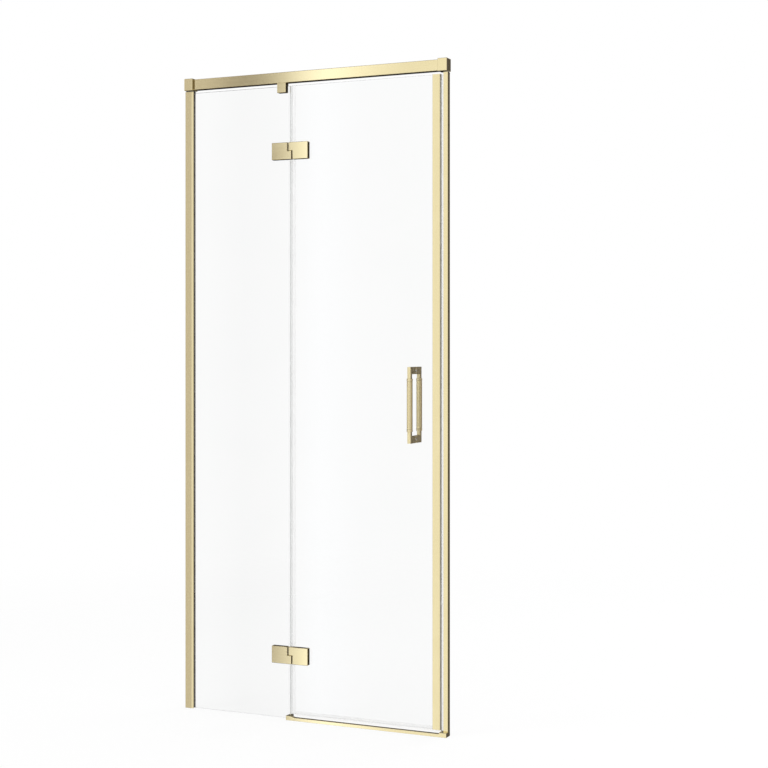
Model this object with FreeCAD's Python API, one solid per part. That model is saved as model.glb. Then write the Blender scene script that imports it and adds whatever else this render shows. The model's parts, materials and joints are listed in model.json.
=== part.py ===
import FreeCAD, Part
import os

# Hinged shower door for a niche, closed, seen from outside along +Y.
# X runs from the left wall to the right wall, Y into the shower, Z up.
# The origin is on the tray, in the middle of the width and of the glass.

Vector = FreeCAD.Vector

# Overall size
overall_width = 900.0
overall_height = 2000.0
cut_overrun = 5.0

# Glass
glass_thickness = 6.0
glass_arris = 0.8
glass_seat_gap = 1.1
fixed_glass_lift = 1.5
fixed_panel_width = 374.1
glass_joint = 4.6

# Wall profiles, which slide over channels screwed to the walls
profile_depth = 17.5
profile_wall = 1.4
left_profile_width = 28.6
right_profile_width = 14.0
left_web_offset = 16.0
right_web_offset = 8.0
nose_run = 5.0
nose_rise = 2.5
slide_gap = 0.15
channel_base = 1.8
channel_wall = 1.3
channel_end_gap = 0.6
wall_hole_radius = 2.6
wall_hole_end = 150.0
wall_hole_count = 4
profile_screw_radius = 1.5
profile_screw_head_radius = 2.8
profile_screw_head_height = 1.6
profile_screw_end = 300.0
profile_screw_count = 3
screw_gap = 0.1

# Glazing gaskets
gasket_gap = 0.1
gasket_end_gap = 0.3
gasket_bead = 1.2

# Top rail and its end caps
cap_width = 30.0
cap_depth = 33.0
cap_height = 38.0
cap_edge_radius = 1.5
cap_spacer_height = 3.0
cap_spacer_inset = 1.8
cap_plate_height = 3.5
cap_tongue_length = 18.0
cap_tongue_gap = 0.4
cap_screw_radius = 1.6
cap_screw_head_radius = 2.4
cap_screw_head_height = 1.5
cap_screw_bite = 12.0
rail_height = 33.2
rail_depth = 24.5
rail_wall = 1.8
rail_edge_radius = 1.5
rail_drop = 2.2
rail_glass_gap = 9.6
spigot_length = 25.0
spigot_gap = 0.2
rail_screw_radius = 2.5
rail_screw_length = 6.0

# Clamp that holds the fixed glass under the rail
clamp_width = 30.0
clamp_drop = 30.0
clamp_offset = 29.1
clamp_depth = 20.0
clamp_edge_radius = 1.2
clamp_pad_thickness = 0.8
clamp_roof_gap = 1.0
clamp_bolt_radius = 2.5
clamp_bolt_head_radius = 4.2
clamp_bolt_head_height = 3.0
clamp_bolt_bite = 6.0
clamp_grub_radius = 2.5

# Hinges, in front of the glass, with a lift-off pin
hinge_height = 53.0
hinge_thickness = 14.0
hinge_pad_thickness = 0.5
hinge_axis_offset = 5.9
upper_hinge_drop = 202.6
lower_hinge_level = 198.3
fixed_leaf_reach = 63.6
door_leaf_reach = 60.8
knuckle_reach = 4.2
knuckle_back_radius = 3.0
fixed_slot = 5.8
door_slot = 4.0
leaf_corner_radius = 2.0
leaf_front_chamfer = 1.0
knuckle_gap = 0.8
pin_radius = 2.25
pin_running_gap = 0.05
bush_wall = 0.7
pin_end_cover = 3.0
pin_bottom_gap = 0.5
washer_play = 0.1
hinge_washer_radius = 4.0

# Countersunk discs and screws that clamp each hinge leaf to its glass
disc_spacing = 26.0
disc_head_radius = 9.5
disc_neck_radius = 6.2
disc_head_height = 3.2
disc_gap = 0.3
disc_screw_radius = 2.5
disc_screw_head_radius = 4.6
disc_screw_head_height = 2.6
disc_screw_bite = 8.0

# Closing edge of the door and the strip that it shuts against
edge_profile_width = 24.1
edge_profile_depth = 13.0
edge_profile_wall = 1.3
edge_profile_web = 3.0
edge_profile_chamfer = 0.6
door_magnet_thickness = 1.2
wall_magnet_thickness = 1.2
magnet_width = 6.5
magnet_gap = 0.4
wall_seal_reach = 9.0
wall_seal_depth = 10.0
wall_seal_wall = 0.9
wall_seal_foot_depth = 14.4
wall_seal_foot_length = 4.0

# Clear seals on the hinge side and under the door
seal_wall = 1.2
seal_gap = 0.1
hinge_seal_width = 14.0
hinge_seal_blade_reach = 11.3
hinge_seal_blade_thickness = 1.0
hinge_seal_blade_gap = 0.4
hinge_seal_end_gap = 1.5
drip_leg_height = 9.0
drip_fin_drop = 5.6
drip_fin_thickness = 1.0
drip_fin_throw = 4.0
drip_fin_inset = 2.5
drip_clearance = 0.5

# Threshold on the tray
threshold_height = 9.5
threshold_depth = 12.0
threshold_standoff = 18.0
threshold_wall = 1.6
threshold_edge = 0.8
end_piece_rise = 4.0
end_piece_lip = 0.5
end_piece_edge = 1.0
left_end_block = 12.0
left_end_tail = 16.0
left_end_grip = 6.1
left_end_back = 5.0
left_end_slot_gap = 0.3
left_end_slot_floor = 1.2

# Handle through the door glass
handle_height = 226.5
handle_level = 976.0
handle_standoff = 40.0
handle_inset = 59.9
handle_arm_width = 11.0
handle_arm_height = 21.5
handle_bar_depth = 12.0
handle_stub_height = 13.0
handle_edge_radius = 1.2
grip_radius = 8.7
grip_setback = 6.0
grip_bore_radius = 3.1
collar_radius = 9.0
collar_height = 7.5
collar_seam = 0.3
handle_rod_radius = 3.0
handle_rod_bite = 9.0
stud_radius = 3.0
stud_bite = 20.0
stud_gap = 0.1
handle_hole_radius = 6.0
handle_bush_radius = 5.7
handle_flange_thickness = 0.8
handle_flange_radius = 6.1
handle_grub_radius = 2.0

# Planes worked out from these sizes
half_width = overall_width / 2
glass_face = glass_thickness / 2
profile_face = profile_depth / 2
cap_face = cap_depth / 2
cap_bottom = overall_height - cap_height
plate_top = cap_bottom - cap_spacer_height
profile_top = plate_top - cap_plate_height
rail_top = overall_height - rail_drop
rail_bottom = rail_top - rail_height
rail_back = cap_face
rail_front = rail_back - rail_depth
rail_end = half_width - cap_width
glass_top = rail_bottom - rail_glass_gap
fixed_glass_left = -half_width + left_web_offset + profile_wall + glass_seat_gap
fixed_glass_right = -half_width + fixed_panel_width
hinge_axis_x = fixed_glass_right + hinge_axis_offset
hinge_back = -glass_face - hinge_pad_thickness
hinge_front = hinge_back - hinge_thickness
hinge_axis_y = (hinge_front + hinge_back) / 2
fixed_leaf_edge = hinge_axis_x - knuckle_reach - fixed_slot
door_leaf_edge = hinge_axis_x + knuckle_reach + door_slot
threshold_front = -glass_face - threshold_standoff
threshold_back = threshold_front + threshold_depth
end_piece_front = threshold_front - end_piece_lip
end_piece_height = threshold_height + end_piece_rise
fin_bottom = threshold_height + drip_clearance
drip_web_bottom = fin_bottom + drip_fin_drop
door_bottom = drip_web_bottom + seal_wall + seal_gap
wall_seal_face = half_width - right_profile_width - wall_seal_reach
wall_magnet_face = wall_seal_face - wall_magnet_thickness
door_magnet_face = wall_magnet_face - magnet_gap
edge_profile_right = door_magnet_face - door_magnet_thickness
edge_profile_left = edge_profile_right - edge_profile_width
door_glass_left = fixed_glass_right + glass_joint
door_glass_right = edge_profile_right - edge_profile_web - glass_seat_gap
clamp_left = fixed_glass_right - clamp_offset - clamp_width / 2
clamp_right = clamp_left + clamp_width
clamp_bottom = rail_bottom - clamp_drop
clamp_front = rail_front
clamp_back = clamp_front + clamp_depth
handle_x = edge_profile_left - handle_inset
handle_face = glass_face + handle_standoff
handle_foot = glass_face + handle_flange_thickness
handle_bar_inner = handle_face - handle_bar_depth
handle_axis_y = handle_face - grip_setback
upper_hinge_level = glass_top - upper_hinge_drop
hinge_levels = {"upper": upper_hinge_level, "lower": lower_hinge_level}


def block(x, y, z):
    """Box between two limits on each axis, given in either order."""
    corner = Vector(min(x), min(y), min(z))
    return Part.makeBox(abs(x[1] - x[0]), abs(y[1] - y[0]), abs(z[1] - z[0]), corner)


def rod(radius, start, end):
    """Cylinder from one point to another."""
    run = end - start
    return Part.makeCylinder(radius, run.Length, start, run)


def cone(first_radius, last_radius, start, end):
    """Cone from one point to another."""
    run = end - start
    return Part.makeCone(first_radius, last_radius, run.Length, start, run)


def upright(points, bottom, top):
    """Extrusion along Z of an outline of (x, y) points."""
    corners = [Vector(x, y, bottom) for x, y in points]
    outline = Part.makePolygon(corners + corners[:1])
    return Part.Face(outline).extrude(Vector(0, 0, top - bottom))


def level_run(points, left, right):
    """Extrusion along X of an outline of (y, z) points."""
    corners = [Vector(left, y, z) for y, z in points]
    outline = Part.makePolygon(corners + corners[:1])
    return Part.Face(outline).extrude(Vector(right - left, 0, 0))


def is_line_along(edge, axis):
    """True for a straight edge that runs along one axis, 0 for X, 1 for Y and 2 for Z."""
    box = edge.BoundBox
    spans = [box.XLength, box.YLength, box.ZLength]
    return spans[axis] > edge.Length * (1 - 1e-6)


def edges_along(shape, axis, x=None, y=None, z=None):
    """Straight edges along an axis whose middles lie in the planes that are given."""
    found = []
    for edge in shape.Edges:
        middle = edge.BoundBox.Center
        wanted = [(middle.x, x), (middle.y, y), (middle.z, z)]
        if is_line_along(edge, axis) and all(p is None or abs(m - p) < 1e-4 for m, p in wanted):
            found.append(edge)
    return found


def edges_in_plane_y(shape, y):
    """All edges that lie in one upright plane across the depth."""
    found = []
    for edge in shape.Edges:
        box = edge.BoundBox
        if abs(box.YMin - y) < 1e-4 and abs(box.YMax - y) < 1e-4:
            found.append(edge)
    return found


def rounded_block(x, y, z, radius):
    """Box with every edge rounded."""
    solid = block(x, y, z)
    return solid.makeFillet(radius, solid.Edges)


def levels(end, count):
    """Heights of evenly spaced fasteners along a wall profile."""
    step = (profile_top - end * 2) / (count - 1)
    return [end + step * i for i in range(count)]


def at_wall(side, points):
    """Points given as (distance from the wall, y), set against the left or right wall."""
    return [(side * (half_width - t), y) for t, y in points]


def front_corner(side, width, y):
    """Free corner of a front leg at one depth, bevelled back to a nose on the left profile only."""
    if side < 0:
        return [(width - nose_run, y), (width, y + nose_rise)]
    return [(width, y)]


def wall_profile(side, width, web_offset, bottom):
    """H section with legs that cover the wall channel and hold the glass or the seal."""
    outer = profile_face
    inner = profile_face - profile_wall
    web_end = web_offset + profile_wall
    outline = [
        (0, -outer),
        *front_corner(side, width, -outer),
        *reversed(front_corner(side, width, -inner)),
        (web_end, -inner),
        (web_end, inner),
        (width, inner),
        (width, outer),
        (0, outer),
        (0, inner),
        (web_offset, inner),
        (web_offset, -inner),
        (0, -inner),
    ]
    solid = upright(at_wall(side, outline), bottom, profile_top)
    for screw_hole in profile_screw_shanks(side, web_offset, profile_screw_radius + screw_gap):
        solid = solid.cut(screw_hole)
    return solid


def wall_channel(side, web_offset, bottom):
    """U section screwed to the wall, inside the legs of the wall profile."""
    outer = profile_face - profile_wall - slide_gap
    inner = outer - channel_wall
    leg = web_offset - channel_end_gap
    outline = [
        (0, -outer),
        (leg, -outer),
        (leg, -inner),
        (channel_base, -inner),
        (channel_base, inner),
        (leg, inner),
        (leg, outer),
        (0, outer),
    ]
    solid = upright(at_wall(side, outline), bottom, profile_top)
    for z in levels(wall_hole_end, wall_hole_count):
        start = Vector(side * (half_width + cut_overrun), 0, z)
        end = Vector(side * (half_width - channel_base - channel_wall), 0, z)
        solid = solid.cut(rod(wall_hole_radius, start, end))
    for screw_hole in profile_screw_shanks(side, web_offset, profile_screw_radius + screw_gap):
        solid = solid.cut(screw_hole)
    return solid


def profile_screw_shanks(side, web_offset, radius):
    """Shanks that pass through the back leg of a profile into its channel."""
    x = side * (half_width - web_offset / 2)
    tip = profile_face - profile_wall - slide_gap - channel_wall
    shanks = []
    for z in levels(profile_screw_end, profile_screw_count):
        shanks.append(rod(radius, Vector(x, tip, z), Vector(x, profile_face, z)))
    return shanks


def profile_screws():
    """Pan-head screws that lock each profile to its channel, inside the shower."""
    screws = []
    for side, web_offset in ((-1, left_web_offset), (1, right_web_offset)):
        for shank in profile_screw_shanks(side, web_offset, profile_screw_radius):
            middle = shank.BoundBox.Center
            seat = Vector(middle.x, profile_face, middle.z)
            crown = Vector(middle.x, profile_face + profile_screw_head_height, middle.z)
            screws.append(shank.fuse(rod(profile_screw_head_radius, seat, crown)))
    return Part.makeCompound(screws)


def glass_gasket(front):
    """Strip that wedges the fixed glass in its wall profile, in front of it or behind it."""
    start = left_web_offset + profile_wall + gasket_end_gap
    end = left_profile_width - nose_run - gasket_end_gap if front else left_profile_width + gasket_bead
    near = glass_face + gasket_gap
    far = profile_face - profile_wall - gasket_gap
    side = -1 if front else 1
    x = (-half_width + start, -half_width + end)
    return block(x, (side * near, side * far), (fixed_glass_lift, glass_top))


def glass_pane(left, right, bottom):
    """Pane with its edges ground to a small arris."""
    pane = block((left, right), (-glass_face, glass_face), (bottom, glass_top))
    return pane.makeChamfer(glass_arris, pane.Edges)


def disc_centres(level, x):
    """Centres of the two glass holes behind one hinge leaf."""
    return [(x, level - disc_spacing / 2), (x, level + disc_spacing / 2)]


def fixed_disc_x():
    """Middle of the fixed leaf, where its glass holes are."""
    return (hinge_axis_x - fixed_leaf_reach + fixed_leaf_edge) / 2


def door_disc_x():
    """Middle of the door leaf, where its glass holes are."""
    return (hinge_axis_x + door_leaf_reach + door_leaf_edge) / 2


def disc_shape(x, z, growth, back):
    """Countersunk disc in the glass, or its hole where growth is more than zero."""
    rim = glass_face - disc_head_height
    head = cone(
        disc_neck_radius + growth,
        disc_head_radius + growth,
        Vector(x, rim, z),
        Vector(x, glass_face, z),
    )
    neck = rod(disc_neck_radius + growth, Vector(x, -glass_face - back, z), Vector(x, rim, z))
    return head.fuse(neck)


def fixed_glass():
    """Fixed pane, held at the left wall and by the clamp, with the holes of both hinges."""
    pane = glass_pane(fixed_glass_left, fixed_glass_right, fixed_glass_lift)
    for level in hinge_levels.values():
        for x, z in disc_centres(level, fixed_disc_x()):
            pane = pane.cut(disc_shape(x, z, disc_gap, cut_overrun))
    return pane


def rail_section():
    """Box section of the rail, rounded along its length."""
    outer = block((-rail_end, rail_end), (rail_front, rail_back), (rail_bottom, rail_top))
    outer = outer.makeFillet(rail_edge_radius, edges_along(outer, 0))
    hollow = block(
        (-rail_end - cut_overrun, rail_end + cut_overrun),
        (rail_front + rail_wall, rail_back - rail_wall),
        (rail_bottom + rail_wall, rail_top - rail_wall),
    )
    return outer.cut(hollow)


def top_rail():
    """Rail across the whole width, with holes for its set screws and the clamp's bolt."""
    solid = rail_section()
    for side in (-1, 1):
        solid = solid.cut(rail_screw(side, rail_screw_radius + screw_gap, cut_overrun))
    bolt_end = Vector(clamp_bolt_x(), clamp_bolt_y(), rail_bottom + rail_wall + clamp_roof_gap)
    bolt_start = Vector(clamp_bolt_x(), clamp_bolt_y(), rail_bottom - cut_overrun)
    return solid.cut(rod(clamp_bolt_radius + screw_gap, bolt_start, bolt_end))


def rail_screw(side, radius, overrun):
    """Set screw through the back of the rail into the spigot of one cap."""
    x = side * (rail_end - spigot_length / 2)
    z = (rail_bottom + rail_top) / 2
    return rod(radius, Vector(x, rail_back - rail_screw_length, z), Vector(x, rail_back + overrun, z))


def profile_width(side):
    """Width of the wall profile on one side."""
    return left_profile_width if side < 0 else right_profile_width


def web_offset_of(side):
    """Distance from the wall to the web of the profile on one side."""
    return left_web_offset if side < 0 else right_web_offset


def tongue_reach(side):
    """How far from the wall the locating tongue of a cap plate ends."""
    return web_offset_of(side) - channel_end_gap


def cap_screw_x(side):
    """Middle of the room inside a wall channel, where the cap's screw stands."""
    return side * (half_width - (channel_base + tongue_reach(side)) / 2)


def end_cap(side):
    """Corner block with a spigot in the rail."""
    outer = side * half_width
    inner = side * rail_end
    body = rounded_block(
        (outer, inner), (-cap_face, cap_face), (cap_bottom, overall_height), cap_edge_radius
    )
    inset = rail_wall + spigot_gap
    spigot = block(
        (side * (rail_end + cap_edge_radius), side * (rail_end - spigot_length)),
        (rail_front + inset, rail_back - inset),
        (rail_bottom + inset, rail_top - inset),
    )
    cap = body.fuse(spigot).removeSplitter()
    x = cap_screw_x(side)
    screw_start = Vector(x, 0, cap_bottom - cut_overrun)
    screw_end = Vector(x, 0, plate_top + cap_screw_bite + screw_gap)
    cap = cap.cut(rod(cap_screw_radius + screw_gap, screw_start, screw_end))
    return cap.cut(rail_screw(side, rail_screw_radius + screw_gap, cut_overrun))


def cap_spacers():
    """Dark packing between caps and plates, set back so that it leaves a shadow line."""
    spacers = []
    for side in (-1, 1):
        outer = side * (half_width - cap_spacer_inset)
        inner = side * (half_width - profile_width(side) + cap_spacer_inset)
        reach = profile_face - cap_spacer_inset
        spacer = block((outer, inner), (-reach, reach), (plate_top, cap_bottom))
        x = cap_screw_x(side)
        screw_start = Vector(x, 0, plate_top - cut_overrun)
        screw_end = Vector(x, 0, cap_bottom + cut_overrun)
        spacers.append(spacer.cut(rod(cap_screw_radius + screw_gap, screw_start, screw_end)))
    return Part.makeCompound(spacers)


def cap_plate(side):
    """Plate between profile and cap, with a tongue that drops into the wall channel."""
    width = profile_width(side)
    face_outline = [
        (0, -profile_face),
        *front_corner(side, width, -profile_face),
        (width, profile_face),
        (0, profile_face),
    ]
    plate = upright(at_wall(side, face_outline), profile_top, plate_top)
    inner = profile_face - profile_wall - slide_gap - channel_wall - cap_tongue_gap
    near = channel_base + cap_tongue_gap
    far = tongue_reach(side)
    tongue_x = (side * (half_width - near), side * (half_width - far))
    tongue = block(tongue_x, (-inner, inner), (profile_top - cap_tongue_length, profile_top))
    plate = plate.fuse(tongue).removeSplitter()
    x = cap_screw_x(side)
    low = profile_top - cap_tongue_length
    start = Vector(x, 0, low - cut_overrun)
    return plate.cut(rod(cap_screw_radius + screw_gap, start, Vector(x, 0, plate_top + cut_overrun)))


def cap_screws():
    """Upright screws that pull each cap down on its plate."""
    screws = []
    low = profile_top - cap_tongue_length
    for side in (-1, 1):
        x = cap_screw_x(side)
        shank = rod(cap_screw_radius, Vector(x, 0, low), Vector(x, 0, plate_top + cap_screw_bite))
        head = rod(cap_screw_head_radius, Vector(x, 0, low - cap_screw_head_height), Vector(x, 0, low))
        screws.append(shank.fuse(head))
    return Part.makeCompound(screws)


def rail_screws():
    """Set screws at the back of the rail, one for each spigot."""
    return Part.makeCompound([rail_screw(side, rail_screw_radius, 0) for side in (-1, 1)])


def clamp_bolt_x():
    """Middle of the clamp along the rail."""
    return (clamp_left + clamp_right) / 2


def clamp_bolt_y():
    """Middle of the clamp across its depth."""
    return (clamp_front + clamp_back) / 2


def clamp_pad_face():
    """Distance from the middle of the glass to the jaws of the clamp."""
    return glass_face + clamp_pad_thickness


def glass_clamp():
    """Fork that hangs from the rail and straddles the top edge of the fixed glass."""
    solid = block((clamp_left, clamp_right), (clamp_front, clamp_back), (clamp_bottom, rail_bottom))
    corners = edges_along(solid, 2) + edges_along(solid, 0, z=clamp_bottom)
    corners += edges_along(solid, 1, z=clamp_bottom)
    solid = solid.makeFillet(clamp_edge_radius, corners)
    slot = block(
        (clamp_left - cut_overrun, clamp_right + cut_overrun),
        (-clamp_pad_face(), clamp_pad_face()),
        (clamp_bottom - cut_overrun, glass_top + clamp_roof_gap),
    )
    solid = solid.cut(slot).cut(clamp_grub(clamp_grub_radius + screw_gap, cut_overrun))
    bolt_low = rail_bottom - clamp_bolt_bite - screw_gap
    top = Vector(clamp_bolt_x(), clamp_bolt_y(), rail_bottom + cut_overrun)
    hole = rod(clamp_bolt_radius + screw_gap, Vector(clamp_bolt_x(), clamp_bolt_y(), bolt_low), top)
    return solid.cut(hole)


def clamp_grub_level():
    """Height of the set screw in the back jaw."""
    return (clamp_bottom + glass_top) / 2


def clamp_grub(radius, overrun):
    """Set screw through the back jaw of the clamp."""
    z = clamp_grub_level()
    start = Vector(clamp_bolt_x(), clamp_pad_face(), z)
    return rod(radius, start, Vector(clamp_bolt_x(), clamp_back + overrun, z))


def clamp_pads():
    """Two rubber pads between the clamp's jaws and the glass."""
    x = (clamp_left + clamp_edge_radius, clamp_right - clamp_edge_radius)
    z = (clamp_bottom + clamp_edge_radius, glass_top)
    pads = [block(x, (side * glass_face, side * clamp_pad_face()), z) for side in (-1, 1)]
    return Part.makeCompound(pads)


def clamp_bolt():
    """Bolt from inside the rail down into the clamp."""
    x = clamp_bolt_x()
    y = clamp_bolt_y()
    floor = rail_bottom + rail_wall
    shank = rod(clamp_bolt_radius, Vector(x, y, rail_bottom - clamp_bolt_bite), Vector(x, y, floor))
    head_top = Vector(x, y, floor + clamp_bolt_head_height)
    return shank.fuse(rod(clamp_bolt_head_radius, Vector(x, y, floor), head_top))


def leaf_plate(left, right, level):
    """Full-height part of a hinge leaf, in front of the glass."""
    z = (level - hinge_height / 2, level + hinge_height / 2)
    return block((left, right), (hinge_front, hinge_back), z)


def soften_leaf(solid, outer_x, knuckle_x):
    """Rounds a leaf's outer corners and its knuckle, and chamfers the edge of its face."""
    corners = edges_along(solid, 1, x=outer_x)
    solid = solid.makeFillet(leaf_corner_radius, corners)
    back = edges_along(solid, 2, x=knuckle_x, y=hinge_back)
    solid = solid.makeFillet(knuckle_back_radius, back)
    return solid.makeChamfer(leaf_front_chamfer, edges_in_plane_y(solid, hinge_front))


def pin_line(level, low, high):
    """Two points on the hinge axis, given as heights over the middle of one hinge."""
    bottom = Vector(hinge_axis_x, hinge_axis_y, level + low)
    return bottom, Vector(hinge_axis_x, hinge_axis_y, level + high)


def leaf_screw_holes(solid, level, x):
    """Takes the screw holes of the clamping discs out of a leaf."""
    for hole_x, z in disc_centres(level, x):
        start = Vector(hole_x, hinge_back - disc_screw_bite - screw_gap, z)
        end = Vector(hole_x, hinge_back + cut_overrun, z)
        solid = solid.cut(rod(disc_screw_radius + screw_gap, start, end))
    return solid


def fixed_leaf(level):
    """Leaf on the fixed glass, with the lower knuckle that holds the pin."""
    left = hinge_axis_x - fixed_leaf_reach
    right = hinge_axis_x + knuckle_reach
    plate = leaf_plate(left, fixed_leaf_edge, level)
    knuckle = block(
        (fixed_leaf_edge, right),
        (hinge_front, hinge_back),
        (level - hinge_height / 2, level - knuckle_gap / 2),
    )
    solid = soften_leaf(plate.fuse(knuckle).removeSplitter(), left, right)
    low = -hinge_height / 2 + pin_end_cover
    solid = solid.cut(rod(pin_radius, *pin_line(level, low, cut_overrun)))
    return leaf_screw_holes(solid, level, fixed_disc_x())


def door_leaf(level):
    """Leaf on the door glass, with the upper knuckle that turns on the pin."""
    left = hinge_axis_x - knuckle_reach
    right = hinge_axis_x + door_leaf_reach
    plate = leaf_plate(door_leaf_edge, right, level)
    knuckle = block(
        (left, door_leaf_edge),
        (hinge_front, hinge_back),
        (level + knuckle_gap / 2, level + hinge_height / 2),
    )
    solid = soften_leaf(plate.fuse(knuckle).removeSplitter(), right, left)
    high = hinge_height / 2 - pin_end_cover
    bore = pin_radius + pin_running_gap + bush_wall
    solid = solid.cut(rod(bore, *pin_line(level, -cut_overrun, high)))
    return leaf_screw_holes(solid, level, door_disc_x())


def hinge_pin(level):
    """Pin that stands in the fixed knuckle and reaches up into the door's knuckle."""
    low = -hinge_height / 2 + pin_end_cover
    high = hinge_height / 2 - pin_end_cover - pin_bottom_gap
    return rod(pin_radius, *pin_line(level, low, high))


def hinge_bush(level):
    """Plastic sleeve in the door's knuckle."""
    low = knuckle_gap / 2
    high = hinge_height / 2 - pin_end_cover
    inner = pin_radius + pin_running_gap
    sleeve = rod(inner + bush_wall, *pin_line(level, low, high))
    return sleeve.cut(rod(inner, *pin_line(level, low - cut_overrun, high + cut_overrun)))


def hinge_washer(level):
    """Thrust washer between the two knuckles."""
    low = -knuckle_gap / 2
    high = knuckle_gap / 2 - washer_play
    ring = rod(hinge_washer_radius, *pin_line(level, low, high))
    hole = rod(pin_radius + pin_running_gap, *pin_line(level, low - cut_overrun, high + cut_overrun))
    return ring.cut(hole)


def leaf_pad(left, right, level, x):
    """Gasket between a hinge leaf and its glass."""
    z = (level - hinge_height / 2 + leaf_corner_radius, level + hinge_height / 2 - leaf_corner_radius)
    pad = block((left, right), (hinge_back, -glass_face), z)
    for hole_x, hole_z in disc_centres(level, x):
        start = Vector(hole_x, hinge_back - cut_overrun, hole_z)
        end = Vector(hole_x, -glass_face + cut_overrun, hole_z)
        pad = pad.cut(rod(disc_neck_radius + disc_gap, start, end))
    return pad


def leaf_discs(level, x):
    """Countersunk discs that fill the glass holes behind one leaf, flush inside the shower."""
    discs = []
    for hole_x, z in disc_centres(level, x):
        disc = disc_shape(hole_x, z, 0, 0)
        start = Vector(hole_x, -glass_face - cut_overrun, z)
        disc = disc.cut(rod(disc_screw_radius + screw_gap, start, Vector(hole_x, glass_face, z)))
        discs.append(disc.cut(disc_screw_head(hole_x, z, screw_gap)))
    return Part.makeCompound(discs)


def disc_screw_head(x, z, growth):
    """Countersunk head of a hinge screw, or its recess."""
    start = Vector(x, glass_face - disc_screw_head_height - growth, z)
    end = Vector(x, glass_face, z)
    return cone(disc_screw_radius + growth, disc_screw_head_radius + growth, start, end)


def leaf_screws(x):
    """Screws of one leaf of both hinges, from inside the shower."""
    screws = []
    for level in hinge_levels.values():
        for hole_x, z in disc_centres(level, x):
            start = Vector(hole_x, hinge_back - disc_screw_bite, z)
            head_start = Vector(hole_x, glass_face - disc_screw_head_height, z)
            shank = rod(disc_screw_radius, start, head_start)
            screws.append(shank.fuse(disc_screw_head(hole_x, z, 0)))
    return Part.makeCompound(screws)


def door_glass():
    """Door pane with the holes of both hinges and of the handle."""
    pane = glass_pane(door_glass_left, door_glass_right, door_bottom)
    for level in hinge_levels.values():
        for x, z in disc_centres(level, door_disc_x()):
            pane = pane.cut(disc_shape(x, z, disc_gap, cut_overrun))
    for z in handle_arm_levels():
        start = Vector(handle_x, -glass_face - cut_overrun, z)
        pane = pane.cut(rod(handle_hole_radius, start, Vector(handle_x, glass_face + cut_overrun, z)))
    return pane


def door_edge_profile():
    """U section along the closing edge of the door."""
    outer = edge_profile_depth / 2
    inner = outer - edge_profile_wall
    x = (edge_profile_left, edge_profile_right)
    solid = block(x, (-outer, outer), (door_bottom, glass_top))
    solid = solid.makeChamfer(edge_profile_chamfer, edges_along(solid, 2))
    pocket_end = edge_profile_right - edge_profile_web
    pocket = block(
        (edge_profile_left - cut_overrun, pocket_end),
        (-inner, inner),
        (door_bottom - cut_overrun, glass_top + cut_overrun),
    )
    return solid.cut(pocket)


def edge_gaskets():
    """Strips that hold the door glass in its edge profile."""
    inner = edge_profile_depth / 2 - edge_profile_wall - gasket_gap
    x = (edge_profile_left + gasket_end_gap, edge_profile_right - edge_profile_web - gasket_end_gap)
    strips = []
    for side in (-1, 1):
        y = (side * (glass_face + gasket_gap), side * inner)
        strips.append(block(x, y, (door_bottom, glass_top)))
    return Part.makeCompound(strips)


def magnet(left, right, bottom):
    """Flat magnetic strip on the closing side."""
    return block((left, right), (-magnet_width / 2, magnet_width / 2), (bottom, glass_top))


def wall_seal():
    """Clear hollow strip that carries the wall magnet, with a foot in the wall profile."""
    outer = wall_seal_depth / 2
    z = (end_piece_height, glass_top)
    mouth = half_width - right_profile_width
    body = block((wall_seal_face, mouth), (-outer, outer), z)
    hollow = block(
        (wall_seal_face + wall_seal_wall, mouth - wall_seal_wall),
        (-outer + wall_seal_wall, outer - wall_seal_wall),
        (end_piece_height - cut_overrun, glass_top + cut_overrun),
    )
    foot_half = wall_seal_foot_depth / 2
    foot = block((mouth, mouth + wall_seal_foot_length), (-foot_half, foot_half), z)
    return body.cut(hollow).fuse(foot).removeSplitter()


def hinge_seal_spans():
    """Heights of the seal's lengths, below, between and above the hinges."""
    clear = hinge_height / 2 + hinge_seal_end_gap
    return [
        (door_bottom, lower_hinge_level - clear),
        (lower_hinge_level + clear, upper_hinge_level - clear),
        (upper_hinge_level + clear, glass_top),
    ]


def hinge_seal():
    """Clear channel on the door glass, with a blade that closes the joint from inside."""
    inner = glass_face + seal_gap
    outer = inner + seal_wall
    web_right = door_glass_left - seal_gap
    web_left = web_right - seal_wall
    right = web_left + hinge_seal_width
    blade_left = web_left - hinge_seal_blade_reach
    blade_y = glass_face + hinge_seal_blade_gap
    outline = [
        (web_left, -outer),
        (right, -outer),
        (right, -inner),
        (web_right, -inner),
        (web_right, inner),
        (right, inner),
        (right, outer),
        (web_left, outer),
        (web_left, blade_y + hinge_seal_blade_thickness),
        (blade_left, blade_y + hinge_seal_blade_thickness),
        (blade_left, blade_y),
        (web_left, blade_y),
    ]
    return Part.makeCompound([upright(outline, low, high) for low, high in hinge_seal_spans()])


def hinge_seal_right():
    """Right-hand edge of the hinge-side seal."""
    return door_glass_left - seal_gap - seal_wall + hinge_seal_width


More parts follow.
